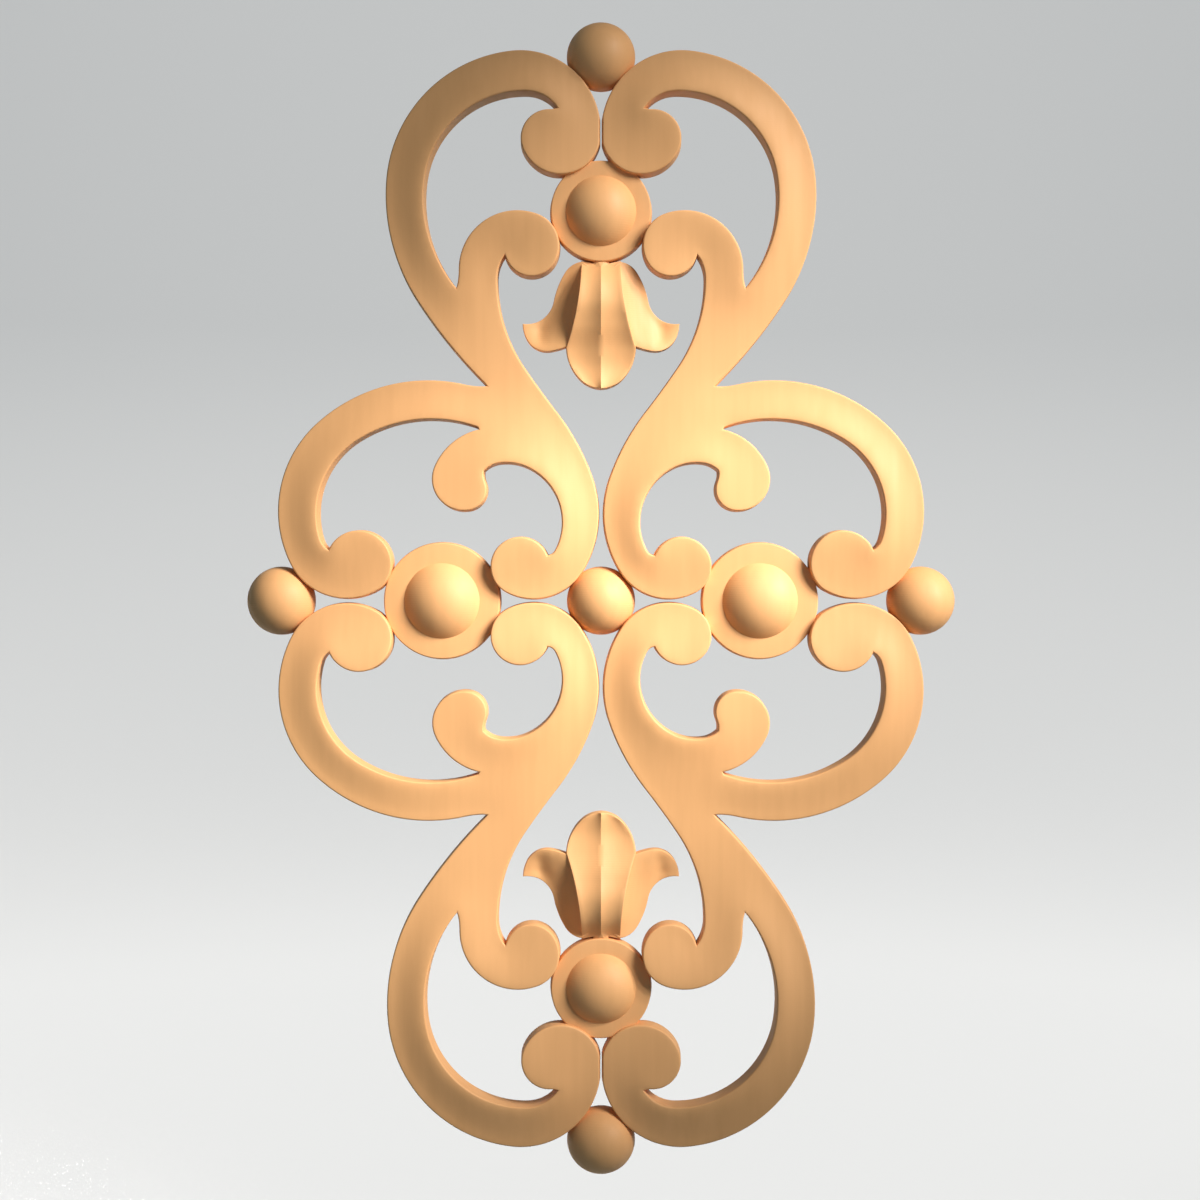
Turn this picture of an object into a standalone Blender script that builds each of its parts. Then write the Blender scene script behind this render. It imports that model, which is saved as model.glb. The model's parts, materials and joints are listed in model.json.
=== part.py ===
# A carved scroll onlay: four mirrored scrolls, four bossed discs, five balls and two leaves,
# all cut from one board. The back is flat on y = 0, the carved face looks along -y, z is up,
# and the origin is the middle of the back.

import math

import bmesh
import bpy
import numpy as np
from mathutils import Vector
from mathutils.geometry import delaunay_2d_cdt

# Sizes that can be set by themselves, in metres
OVERALL_HEIGHT = 0.460
LOW_EDGE = 0.0068
EDGE_RISE = 0.0050
WALL_DRAFT = 0.0010
HALF_SLOT = 0.00025
BALL_BITE = 0.0010
END_BALL_BITE = 0.0017
SIDE_BALL_BITE = 0.0016
DISC_THICKNESS = 0.0062
END_DISC_LAP = 0.0025
SIDE_DISC_LAP = 0.0014
END_RING_WIDTH = 0.0064
SIDE_RING_WIDTH = 0.0085
BOSS_RISE = 0.0076
LEAF_LAP = 0.0030
LEAF_RIDGE = (0.0054, 0.0112, 0.0134, 0.0112, 0.0071, 0.0059, 0.0075)
FLUTE_DEPTH = 0.0013
LOBE_LOW = 0.0013
LOBE_RISE = 0.0059

# How far each solid first runs past the back, before the back is sawn flat: no two that
# overlap run equally far
SCROLL_PAST_BACK = 0.0005
TURNED_PAST_BACK = 0.0008
MIDDLE_LOBE_PAST_BACK = 0.0011
SIDE_LOBE_PAST_BACK = 0.0014

# How finely the faces are cut
CHORD_SAG = 0.00014
FACE_PITCH = 0.0060
LEAF_PITCH = 0.0040
SKIN_PITCH = 0.0010
SKIN_SWEEPS = 160
SKIN_WEIGHT = 1.7
RIM_CLEARANCE = 0.62
MITRE_LIMIT = 2.0
SAME_POINT = 1e-7
SAW_SNAP = 2e-6
WELD_GAP = 1e-5
SEAT_STEPS = 60
BALL_SEGMENTS = 20
BALL_RINGS = 5
DISC_SEGMENTS = 32
BOSS_RINGS = 4

# The scroll is drawn on squared paper, in squares from the middle of the onlay
SQUARES_HIGH = 1150
SQUARE = OVERALL_HEIGHT / SQUARES_HIGH

# Points where two edges of the scroll meet
VOLUTE_NOTCH = (44.2, 486.4)
UPPER_FORK = (143.3, 311.0)
CURL_NOTCH = (95.2, 340.6)
WAIST_FORK = (114.4, 213.4)
SIDE_NOTCH = (269.2, 51.8)
HOOK_FORK = (122.0, 170.2)
HOOK_BACK = (115.2, 128.3)
EYE_NOTCH = (52.4, 46.0)

# Each edge: start, end, its arcs as (radius, turn in degrees), and its marks as
# (share of the edge, level), where level 0 is the low edge and 1 the full rise
SCROLL_EDGES = (
    (VOLUTE_NOTCH, WAIST_FORK,
     ((17.3, 22.6), (30.9, -117.0), (43.4, -149.2), (85.7, -101.1),
      (149.2, -79.0), (203.4, -37.5), (526.4, -12.6)),
     ((0.0, 0.9), (0.07, 0.9), (0.14, 0.5), (0.2, 0.3), (0.45, 0.0), (0.7, 0.2),
      (0.9, 0.0), (1.0, 0.0))),
    (WAIST_FORK, SIDE_NOTCH,
     ((78.0, 15.6), (172.5, -55.2), (124.5, -74.2), (65.3, -95.3),
      (21.4, -11.7), (34.8, -200.9)),
     ((0.0, 0.0), (0.25, 0.1), (0.4, 0.3), (0.73, 0.35), (0.81, 0.6), (0.88, 1.1), (1.0, 1.1))),
    (SIDE_NOTCH, HOOK_FORK,
     ((16.9, 39.4), (84.8, 75.0), (134.4, 51.8), (1.6, 59.7)),
     ((0.0, 1.1), (0.25, 1.05), (0.5, 0.9), (0.75, 0.65), (1.0, 0.5))),
    (HOOK_FORK, HOOK_BACK,
     ((67.3, -52.7), (34.1, -122.8), (22.8, -103.0), (20.4, 29.9)),
     ((0.0, 0.5), (0.5, 0.7), (0.85, 1.0), (1.0, 0.95))),
    (HOOK_BACK, EYE_NOTCH,
     ((26.2, 37.0), (50.2, 35.3), (59.1, 90.2), (8.5, 53.2)),
     ((0.0, 0.95), (0.3, 0.95), (0.7, 1.05), (1.0, 1.05))),
    (EYE_NOTCH, CURL_NOTCH,
     ((30.6, -219.2), (58.7, -84.8), (110.5, -51.7), (236.1, -18.9),
      (883.9, 3.6), (155.4, 34.4), (40.2, 34.3)),
     ((0.0, 1.05), (0.13, 1.0), (0.2, 0.55), (0.27, 0.35), (0.4, 0.35), (0.5, 0.25),
      (0.65, 0.0), (0.92, 0.0), (1.0, 0.38))),
    (CURL_NOTCH, UPPER_FORK,
     ((27.4, -134.0), (33.7, -101.8), (58.8, -110.0), (62.6, 14.8)),
     ((0.0, 0.38), (0.15, 0.55), (0.3, 0.85), (0.4, 1.0), (0.65, 1.0), (0.8, 0.85), (1.0, 0.5))),
    (UPPER_FORK, VOLUTE_NOTCH,
     ((140.4, 47.1), (99.5, 83.0), (37.8, 52.8)),
     ((0.0, 0.5), (0.12, 0.8), (0.25, 1.0), (1.0, 0.9))),
)

# Middles of the discs, in squares from the middle of the onlay
END_DISC_AT = 386.2
SIDE_DISC_AT = 158.0

# The leaf is drawn below its neck, the disc's innermost point, in squares: a middle lobe with
# a tab under the disc, over two side lobes
TAB_CORNER = (8.0, 0.0)
NECK_CORNER = (20.0, 2.6)
LOBE_JOINT = (35.0, -84.0)
LEAF_TIP = (0.0, -125.3)
MIDDLE_LOBE_ARCS = ((230.0, 20.0),)
LEAF_TIP_ARCS = ((49.6, -40.6), (30.7, -45.2))
RIDGE_STATIONS = (0.0, 18.0, 38.0, 61.0, 86.0, 102.0, 126.0)

# The side lobe's edges, the last two of them hidden under the middle lobe
SHOULDER = (18.5, 1.6)
SIDE_TIP = (78.4, -59.2)
TUCKED_JOINT = (31.0, -82.5)
TUCKED_NECK = (12.0, -3.0)
STRAIGHT = ((1000.0, 0.1),)
SIDE_LOBE_EDGES = (
    (SHOULDER, SIDE_TIP, ((22.4, -53.3), (79.1, -22.6), (27.4, 87.8)),
     ((0.0, 0.7), (0.15, 0.45), (0.4, 0.15), (0.7, 0.0), (0.85, 0.05), (1.0, 0.35))),
    (SIDE_TIP, TUCKED_JOINT, ((36.2, -28.3), (23.2, -70.6), (83.0, -13.5)),
     ((0.0, 0.35), (0.25, 0.35), (0.5, 0.5), (0.75, 0.75), (1.0, 0.95))),
    (TUCKED_JOINT, TUCKED_NECK, ((230.0, -20.0),),
     ((0.0, 0.95), (0.3, 1.05), (0.55, 1.1), (0.8, 1.15), (1.0, 0.8))),
    (TUCKED_NECK, SHOULDER, STRAIGHT, ((0.0, 0.8), (1.0, 0.7))),
)

# Shares: how hollow a face is between its edges, and where the leaf's flute is deepest
SCROLL_HOLLOW = 0.2
LOBE_HOLLOW = 0.5
FLUTE_VALLEY = 0.6
LEAF_LINES = (0.0, 0.3, 0.6, 0.8)

WOOD_COLOUR = (0.80, 0.40, 0.17, 1.0)
WOOD_ROUGHNESS = 0.5


def clear_scene():
    for old in list(bpy.data.objects):
        bpy.data.objects.remove(old, do_unlink=True)


def wood_material():
    material = bpy.data.materials.new("wood")
    material.use_nodes = True
    shader = material.node_tree.nodes["Principled BSDF"]
    shader.inputs["Base Color"].default_value = WOOD_COLOUR
    shader.inputs["Roughness"].default_value = WOOD_ROUGHNESS
    shader.inputs["Metallic"].default_value = 0.0
    return material


def arc_run(start, end, arcs):
    """Points of a chain of tangent arcs, laid between two points given in metres."""
    points = [0j]
    heading = 0.0
    for radius, turn in arcs:
        sweep = math.radians(turn)
        side = math.copysign(radius, turn)
        chord = math.sqrt(8.0 * radius * SQUARE * CHORD_SAG) / SQUARE
        steps = math.ceil(radius * abs(sweep) / chord)
        centre = points[-1] + side * complex(-math.sin(heading), math.cos(heading))
        for step in range(1, steps + 1):
            angle = heading + sweep * step / steps
            points.append(centre - side * complex(-math.sin(angle), math.cos(angle)))
        heading += sweep
    turn_and_scale = (complex(*end) - complex(*start)) / points[-1]
    laid = [complex(*start) + point * turn_and_scale for point in points]
    return [(point.real, point.imag) for point in laid]


def level_at(marks, share):
    """Level between the marks of an edge, in a straight line from one to the next."""
    shares = [mark[0] for mark in marks]
    levels = [mark[1] for mark in marks]
    return float(np.interp(share, shares, levels))


def closed_outline(edges):
    """One closed outline in metres, with a level at each of its points."""
    outline = []
    levels = []
    for start, end, arcs, marks in edges:
        run = arc_run(np.multiply(start, SQUARE), np.multiply(end, SQUARE), arcs)
        lengths = [0.0]
        for here, there in zip(run, run[1:]):
            lengths.append(lengths[-1] + math.dist(here, there))
        for point, length in zip(run[:-1], lengths):
            outline.append(point)
            levels.append(level_at(marks, length / lengths[-1]))
    return np.array(outline), np.array(levels)


def inset(outline, distance):
    """The outline moved into its material by a distance, with its mitres held short."""
    ahead = np.roll(outline, -1, axis=0) - outline
    ahead /= np.linalg.norm(ahead, axis=1)[:, None]
    behind = np.roll(ahead, 1, axis=0)
    inward_ahead = np.column_stack((-ahead[:, 1], ahead[:, 0]))
    inward_behind = np.column_stack((-behind[:, 1], behind[:, 0]))
    mitre = inward_ahead + inward_behind
    mitre /= np.maximum(np.linalg.norm(mitre, axis=1), SAME_POINT)[:, None]
    reach = 1.0 / np.maximum((mitre * inward_ahead).sum(axis=1), 1.0 / MITRE_LIMIT)
    return outline + mitre * (reach * distance)[:, None]


def reach_to(outline, x, z):
    """Distance from one point of the plan to the outline's nearest corner."""
    return float(nearest_point(np.array([(x, z)]), outline)[0][0])


def inside_outline(points, outline):
    """Which points lie inside the outline, by the even-odd rule."""
    within = np.zeros(len(points), dtype=bool)
    for (x1, z1), (x2, z2) in zip(outline, np.roll(outline, -1, axis=0)):
        if z1 == z2:
            continue
        spans = (points[:, 1] > min(z1, z2)) & (points[:, 1] <= max(z1, z2))
        crossing = x1 + (points[:, 1] - z1) * (x2 - x1) / (z2 - z1)
        within ^= spans & (points[:, 0] < crossing)
    return within


def nearest_point(points, outline):
    """Distance from each point to the outline's nearest corner, and which corner that is."""
    gaps = np.linalg.norm(points[:, None, :] - outline[None, :, :], axis=2)
    return gaps.min(axis=1), gaps.argmin(axis=1)


def stretched_skin(outline, levels):
    """Levels over the whole face, as a skin stretched between the levels of its edges."""
    low = outline.min(axis=0) - 2.0 * SKIN_PITCH
    counts = np.ceil((outline.max(axis=0) + 2.0 * SKIN_PITCH - low) / SKIN_PITCH).astype(int) + 1
    columns, rows = np.meshgrid(np.arange(counts[0]), np.arange(counts[1]), indexing="ij")
    nodes = np.column_stack((columns.ravel(), rows.ravel())) * SKIN_PITCH + low
    free = inside_outline(nodes, outline).reshape(counts)
    skin = levels[nearest_point(nodes, outline)[1]].reshape(counts)
    for sweep in range(SKIN_SWEEPS):
        for parity in (0, 1):
            mean = np.zeros_like(skin)
            mean[1:-1, 1:-1] = (skin[2:, 1:-1] + skin[:-2, 1:-1] + skin[1:-1, 2:] + skin[1:-1, :-2]) / 4.0
            moving = free & ((columns + rows) % 2 == parity)
            skin[moving] += SKIN_WEIGHT * (mean[moving] - skin[moving])

    def level(points):
        place = (points - low) / SKIN_PITCH
        cell = np.clip(np.floor(place).astype(int), 0, np.array(counts) - 2)
        along = place - cell
        i, j = cell[:, 0], cell[:, 1]
        u, v = along[:, 0], along[:, 1]
        return (skin[i, j] * (1 - u) * (1 - v) + skin[i + 1, j] * u * (1 - v)
                + skin[i, j + 1] * (1 - u) * v + skin[i + 1, j + 1] * u * v)

    return level


def hollow_rise(level, hollow):
    """Share of the full rise at a level, straight where the hollow is 0."""
    return level * (1.0 - hollow + hollow * level)


def face_points(rim, pitch):
    """A staggered grid of points inside the rim, clear of it by more than half the pitch."""
    low, high = rim.min(axis=0), rim.max(axis=0)
    row_step = pitch * math.sqrt(0.75)
    grid = []
    for row in range(int((high[1] - low[1]) / row_step) + 1):
        shift = 0.5 * pitch * (row % 2)
        for column in range(int((high[0] - low[0]) / pitch) + 1):
            grid.append((low[0] + shift + column * pitch, low[1] + row * row_step))
    grid = np.array(grid)
    clear = nearest_point(grid, rim)[0] > RIM_CLEARANCE * pitch
    return grid[inside_outline(grid, rim) & clear]


def relief_mesh(name, outline, past_back, height_at, pitch, lines=()):
    """A solid that runs past the back, with drafted walls and a carved face of the given height.

    The face has its points on the given lines, or on a grid where there are none.
    """
    count = len(outline)
    rim = inset(outline, WALL_DRAFT)
    plan = list(rim)
    creases = []
    for line in lines:
        within = inside_outline(np.array(line), rim)
        kept = [point for point, inner in zip(line, within)
                if inner and reach_to(rim, *point) > RIM_CLEARANCE * pitch]
        creases += [(len(plan) + step, len(plan) + step + 1) for step in range(len(kept) - 1)]
        plan += kept
    if not lines:
        plan += list(face_points(rim, pitch))
    flat = [Vector(point) for point in plan]
    found = delaunay_2d_cdt(flat, creases, [list(range(count))], 1, SAME_POINT)
    face_at, triangles, sources = found[0], found[2], found[3]
    heights = height_at(np.array([tuple(point) for point in face_at]))
    solid = bmesh.new()
    face_verts = [solid.verts.new((point.x, -height, point.y)) for point, height in zip(face_at, heights)]
    foot_verts = [solid.verts.new((x, 0.0, z)) for x, z in outline]
    back_verts = [solid.verts.new((x, past_back, z)) for x, z in outline]
    rim_verts = [None] * count
    for vert, made_from in zip(face_verts, sources):
        for source in made_from:
            if source < count:
                rim_verts[source] = vert
    for triangle in triangles:
        solid.faces.new([face_verts[corner] for corner in triangle])
    for here in range(count):
        there = (here + 1) % count
        solid.faces.new((back_verts[here], back_verts[there], foot_verts[there], foot_verts[here]))
        solid.faces.new((foot_verts[here], foot_verts[there], rim_verts[there]))
        solid.faces.new((foot_verts[here], rim_verts[there], rim_verts[here]))
    flat_back = [Vector(point) for point in outline]
    for triangle in delaunay_2d_cdt(flat_back, [], [list(range(count))], 1, SAME_POINT)[2]:
        solid.faces.new([back_verts[corner] for corner in triangle])
    bmesh.ops.recalc_face_normals(solid, faces=solid.faces)
    mesh = bpy.data.meshes.new(name)
    solid.to_mesh(mesh)
    solid.free()
    return mesh


def turned_mesh(name, profile, segments):
    """A solid turned about the y axis from (radius, height) pairs that end on the axis."""
    solid = bmesh.new()
    rings = []
    for radius, height in [(profile[0][0], -TURNED_PAST_BACK)] + profile[:-1]:
        ring = []
        for segment in range(segments):
            angle = math.tau * (segment + 0.5) / segments
            ring.append(solid.verts.new((radius * math.cos(angle), -height, radius * math.sin(angle))))
        rings.append(ring)
    top = solid.verts.new((0.0, -profile[-1][1], 0.0))
    solid.faces.new(rings[0])
    for lower, upper in zip(rings, rings[1:]):
        for here in range(segments):
            there = (here + 1) % segments
            solid.faces.new((lower[here], lower[there], upper[there], upper[here]))
    for here in range(segments):
        solid.faces.new((rings[-1][here], rings[-1][(here + 1) % segments], top))
    bmesh.ops.recalc_face_normals(solid, faces=solid.faces)
    mesh = bpy.data.meshes.new(name)
    solid.to_mesh(mesh)
    solid.free()
    return mesh


def cap_profile(radius, rise, base, rings):
    """Profile of a round cap from its rim at the base up to the axis."""
    sphere = (radius * radius + rise * rise) / (2.0 * rise)
    rim_angle = math.acos((sphere - rise) / sphere)
    profile = []
    for ring in range(rings + 1):
        angle = rim_angle * (1.0 - ring / rings)
        profile.append((sphere * math.sin(angle), base + rise - sphere * (1.0 - math.cos(angle))))
    return profile


def add_joined(group, name, mesh, x=0.0, z=0.0):
    """A solid that only lends its shape: the onlay takes in the whole group."""
    lent = bpy.data.objects.new(name, mesh)
    lent.location = (x, 0.0, z)
    group.objects.link(lent)


def mirrored(mesh, right, up):
    """A copy of a mesh mirrored in the centre lines, with its faces still pointing out."""
    copy = mesh.copy()
    for vert in copy.vertices:
        vert.co.x *= right
        vert.co.z *= up
    if right * up < 0:
        copy.flip_normals()
    return copy


def scroll_outline():
    """The scroll of the upper right quarter, anticlockwise, kept clear of both centre lines."""
    outline, levels = closed_outline(SCROLL_EDGES)
    return np.maximum(outline, HALF_SLOT)[::-1], levels[::-1]


def seat_along(outline, direction, start, reach):
    """How far out along a centre line, from the start on, the scroll is first at that reach."""
    at = start
    for step in range(SEAT_STEPS):
        at += reach - reach_to(outline, at * direction[0], at * direction[1])
    return at


def ridge_height(depth):
    """Height of the leaf's ridge at a depth below the neck line, smooth through its stations."""
    stations = np.array(RIDGE_STATIONS) * SQUARE
    heights = np.array(LEAF_RIDGE)
    slopes = np.gradient(heights, stations)
    place = np.clip(depth, stations[0], stations[-1])
    left = np.clip(np.searchsorted(stations, place, side="right") - 1, 0, len(stations) - 2)
    span = stations[left + 1] - stations[left]
    t = (place - stations[left]) / span
    return (heights[left] * (1 + 2 * t) * (1 - t) ** 2 + slopes[left] * span * t * (1 - t) ** 2
            + heights[left + 1] * t * t * (3 - 2 * t) + slopes[left + 1] * span * t * t * (t - 1))


def leaf_middle_mesh():
    """The middle lobe, ridged and fluted, with a tab that laps under the disc."""
    tab = np.multiply(TAB_CORNER, SQUARE)
    side = arc_run(np.multiply(NECK_CORNER, SQUARE), np.multiply(LOBE_JOINT, SQUARE), MIDDLE_LOBE_ARCS)
    tip = arc_run(np.multiply(LOBE_JOINT, SQUARE), np.multiply(LEAF_TIP, SQUARE), LEAF_TIP_ARCS)
    right = [(tab[0], LEAF_LAP), tuple(tab)] + side + tip[1:]
    left = [(-x, z) for x, z in reversed(right[:-1])]
    outline = np.array(right + left)[::-1]
    edge = np.array(side + tip[1:])

    def half_width(depth):
        return np.interp(depth, -edge[:, 1], edge[:, 0])

    def height(points):
        half = np.maximum(half_width(-points[:, 1]), tab[0])
        across = np.minimum(np.abs(points[:, 0]) / half, 1.0)
        flute = 1.0 - ((across - FLUTE_VALLEY) / FLUTE_VALLEY) ** 2
        return ridge_height(-points[:, 1]) - FLUTE_DEPTH * flute

    depths = np.arange(LEAF_PITCH, -LEAF_TIP[1] * SQUARE, LEAF_PITCH)
    lines = []
    for share in LEAF_LINES:
        for side_of_ridge in ((1, -1) if share else (1,)):
            across = side_of_ridge * share * half_width(depths)
            lines.append(list(zip(across, -depths)))
    return relief_mesh("leaf_middle", outline, MIDDLE_LOBE_PAST_BACK, height, LEAF_PITCH, lines)


def leaf_side_mesh():
    """The right side lobe, which runs a little way under the middle lobe."""
    outline, levels = closed_outline(SIDE_LOBE_EDGES)
    outline, levels = outline[::-1], levels[::-1]
    skin = stretched_skin(outline, levels)

    def height(points):
        return LOBE_LOW + LOBE_RISE * hollow_rise(skin(points), LOBE_HOLLOW)

    return relief_mesh("leaf_side", outline, SIDE_LOBE_PAST_BACK, height, LEAF_PITCH)


def scroll_quarters(outline, levels):
    """The four mirrored scrolls in one mesh."""
    skin = stretched_skin(outline, levels)

    def height(points):
        return LOW_EDGE + EDGE_RISE * hollow_rise(skin(points), SCROLL_HOLLOW)

    scroll = relief_mesh("scroll", outline, SCROLL_PAST_BACK, height, FACE_PITCH)
    quarters = bmesh.new()
    for right in (1, -1):
        for up in (1, -1):
            quarters.from_mesh(mirrored(scroll, right, up))
    mesh = bpy.data.meshes.new("scroll_onlay")
    quarters.to_mesh(mesh)
    quarters.free()
    return mesh


def add_balls(group, outline):
    radius = reach_to(outline, 0.0, 0.0) + BALL_BITE
    ball = turned_mesh("ball", cap_profile(radius, radius, 0.0, BALL_RINGS), BALL_SEGMENTS)
    end_at = seat_along(outline, (0.0, 1.0), VOLUTE_NOTCH[1] * SQUARE, radius - END_BALL_BITE)
    side_at = seat_along(outline, (1.0, 0.0), SIDE_NOTCH[0] * SQUARE, radius - SIDE_BALL_BITE)
    add_joined(group, "ball_middle", ball)
    add_joined(group, "ball_upper", ball, z=end_at)
    add_joined(group, "ball_lower", ball, z=-end_at)
    add_joined(group, "ball_right", ball, x=side_at)
    add_joined(group, "ball_left", ball, x=-side_at)


def disc_mesh(name, radius, ring_width):
    """A flat ring with a domed boss in its middle."""
    profile = [(radius, 0.0), (radius - WALL_DRAFT, DISC_THICKNESS)]
    profile += cap_profile(radius - ring_width, BOSS_RISE, DISC_THICKNESS, BOSS_RINGS)
    return turned_mesh(name, profile, DISC_SEGMENTS)


def add_side_discs(group, outline):
    at = SIDE_DISC_AT * SQUARE
    disc = disc_mesh("side_disc", reach_to(outline, at, 0.0) + SIDE_DISC_LAP, SIDE_RING_WIDTH)
    add_joined(group, "disc_right", disc, x=at)
    add_joined(group, "disc_left", disc, x=-at)


def add_end_discs_and_leaves(group, outline):
    """The upper and lower disc, each with a leaf hanging from its inner edge."""
    at = END_DISC_AT * SQUARE
    radius = reach_to(outline, 0.0, at) + END_DISC_LAP
    disc = disc_mesh("end_disc", radius, END_RING_WIDTH)
    middle_lobe = leaf_middle_mesh()
    side_lobe = leaf_side_mesh()
    for end, up in (("upper", 1), ("lower", -1)):
        neck = up * (at - radius)
        add_joined(group, "disc_" + end, disc, z=up * at)
        add_joined(group, "leaf_" + end, mirrored(middle_lobe, 1, up), z=neck)
        for side, right in (("right", 1), ("left", -1)):
            add_joined(group, "lobe_%s_%s" % (end, side), mirrored(side_lobe, right, up), z=neck)


def join_and_saw(onlay, group):
    """Join the group's solids into the onlay, and saw everything behind the back plane off."""
    union = onlay.modifiers.new("take_in", "BOOLEAN")
    union.operation = "UNION"
    union.solver = "EXACT"
    union.operand_type = "COLLECTION"
    union.collection = group
    joined = bmesh.new()
    joined.from_object(onlay, bpy.context.evaluated_depsgraph_get())
    onlay.modifiers.remove(union)
    for lent in list(group.objects):
        bpy.data.objects.remove(lent, do_unlink=True)
    bpy.data.collections.remove(group)

    parts = joined.verts[:] + joined.edges[:] + joined.faces[:]
    bmesh.ops.bisect_plane(joined, geom=parts, dist=SAW_SNAP, plane_co=(0.0, 0.0, 0.0),
                           plane_no=(0.0, 1.0, 0.0), clear_outer=True)
    bmesh.ops.remove_doubles(joined, verts=joined.verts, dist=WELD_GAP)
    sawn_edges = [edge for edge in joined.edges if edge.is_boundary]
    bmesh.ops.triangle_fill(joined, use_beauty=True, use_dissolve=False, edges=sawn_edges)
    bmesh.ops.recalc_face_normals(joined, faces=joined.faces)
    joined.to_mesh(onlay.data)
    joined.free()


def build_onlay():
    outline, levels = scroll_outline()
    onlay = bpy.data.objects.new("scroll_onlay", scroll_quarters(outline, levels))
    bpy.context.scene.collection.objects.link(onlay)
    onlay.data.materials.append(wood_material())

    group = bpy.data.collections.new("taken_in")
    bpy.context.scene.collection.children.link(group)
    add_balls(group, outline)
    add_side_discs(group, outline)
    add_end_discs_and_leaves(group, outline)
    join_and_saw(onlay, group)


clear_scene()
build_onlay()
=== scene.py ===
# A carved scroll onlay, dressed for a studio picture. Lengths are in metres, plans are drawn
# in (x, z), the back lies on y = 0 and the carved face looks along -y.

import json
import math

import bmesh
import bpy
import numpy as np
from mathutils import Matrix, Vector
from mathutils.geometry import delaunay_2d_cdt
from mathutils.kdtree import KDTree

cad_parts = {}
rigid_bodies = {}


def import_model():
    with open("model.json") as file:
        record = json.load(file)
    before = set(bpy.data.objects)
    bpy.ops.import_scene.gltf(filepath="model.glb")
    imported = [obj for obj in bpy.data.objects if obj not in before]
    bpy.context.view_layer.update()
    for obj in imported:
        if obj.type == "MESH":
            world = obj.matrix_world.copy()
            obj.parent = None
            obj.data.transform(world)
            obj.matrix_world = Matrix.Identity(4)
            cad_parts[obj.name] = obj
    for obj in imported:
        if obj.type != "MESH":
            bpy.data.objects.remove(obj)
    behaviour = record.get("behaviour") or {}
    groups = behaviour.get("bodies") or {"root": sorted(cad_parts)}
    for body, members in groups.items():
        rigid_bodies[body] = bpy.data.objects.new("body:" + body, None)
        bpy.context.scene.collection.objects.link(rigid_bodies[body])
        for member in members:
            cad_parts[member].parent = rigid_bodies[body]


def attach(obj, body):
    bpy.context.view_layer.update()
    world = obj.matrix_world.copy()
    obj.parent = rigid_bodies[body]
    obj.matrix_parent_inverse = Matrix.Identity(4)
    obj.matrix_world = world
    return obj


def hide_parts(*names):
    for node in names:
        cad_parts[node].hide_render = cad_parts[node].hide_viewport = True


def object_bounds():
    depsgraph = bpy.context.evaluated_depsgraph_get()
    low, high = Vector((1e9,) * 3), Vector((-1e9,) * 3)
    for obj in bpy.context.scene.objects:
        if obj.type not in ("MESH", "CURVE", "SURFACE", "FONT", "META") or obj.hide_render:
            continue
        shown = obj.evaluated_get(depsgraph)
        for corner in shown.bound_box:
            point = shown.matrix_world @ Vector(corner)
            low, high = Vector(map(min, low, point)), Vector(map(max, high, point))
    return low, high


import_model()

packedLow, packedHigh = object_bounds()
overallHeight = 0.460
squaresHigh = 1150  # the whole onlay is drawn on squared paper
square = overallHeight / squaresHigh
print("frame loaded, %.4f m high" % (packedHigh.z - packedLow.z))

# how finely the knife works
cutting = {
    "chordSag": 0.00003,  # how far an arc's chords cut inside it
    "rollSteps": 5,  # rings in the rolled edge between a wall and a face
    "longestChord": 0.0011,  # no longer than a pitch, so that no face point falls on a rim
    "facePitch": 0.0016,  # spacing of the points on the carved faces
    "leafPitch": 0.0011,
    "rimClearance": 0.62,  # share of the pitch that is kept free beside a rim
    "skinSweeps": 1500,
    "easings": 14,  # rounds of easing that take the pinch out of the skin at the cusps
    "mitreLimit": 2.0,
    "samePoint": 1e-7,
    "leastArea": 1e-12,
    "sawSnap": 2e-6,
    "creaseAngle": 32,  # degrees
}


def arcRun(begin, end, arcs):
    # a chain of tangent arcs, each (radius in squares, turn in degrees), laid between two points
    points = [0j]
    heading = 0.0
    for radius, turn in arcs:
        sweep = math.radians(turn)
        side = math.copysign(radius, turn)
        chord = min(math.sqrt(8 * radius * square * cutting["chordSag"]), cutting["longestChord"])
        steps = math.ceil(radius * square * abs(sweep) / chord)
        centre = points[-1] + side * complex(-math.sin(heading), math.cos(heading))
        for step in range(1, steps + 1):
            angle = heading + sweep * step / steps
            points.append(centre - side * complex(-math.sin(angle), math.cos(angle)))
        heading += sweep
    laid = np.array(points) / points[-1] * (complex(*end) - complex(*begin)) + complex(*begin)
    return np.column_stack((laid.real, laid.imag)) * square


def closedOutline(edges):
    # joins edges of (begin, end, arcs, marks) and gives every point its level from the marks
    outline = []
    levels = []
    for begin, end, arcs, marks in edges:
        run = arcRun(begin, end, arcs)
        gone = np.concatenate(((0,), np.cumsum(np.linalg.norm(np.diff(run, axis=0), axis=1))))
        shares, heights = zip(*marks)
        outline.append(run[:-1])
        levels.append(np.interp(gone[:-1] / gone[-1], shares, heights))
    return np.vstack(outline), np.concatenate(levels)


def movedIn(outline, distance):
    # an anticlockwise outline moved into its wood, with the mitres held short
    ahead = np.roll(outline, -1, axis=0) - outline
    ahead /= np.linalg.norm(ahead, axis=1)[:, None]
    behind = np.roll(ahead, 1, axis=0)
    inAhead = np.column_stack((-ahead[:, 1], ahead[:, 0]))
    inBehind = np.column_stack((-behind[:, 1], behind[:, 0]))
    mitre = inAhead + inBehind
    mitre /= np.maximum(np.linalg.norm(mitre, axis=1), cutting["samePoint"])[:, None]
    reach = 1 / np.maximum((mitre * inAhead).sum(axis=1), 1 / cutting["mitreLimit"])
    return outline + mitre * (reach * distance)[:, None]


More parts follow.
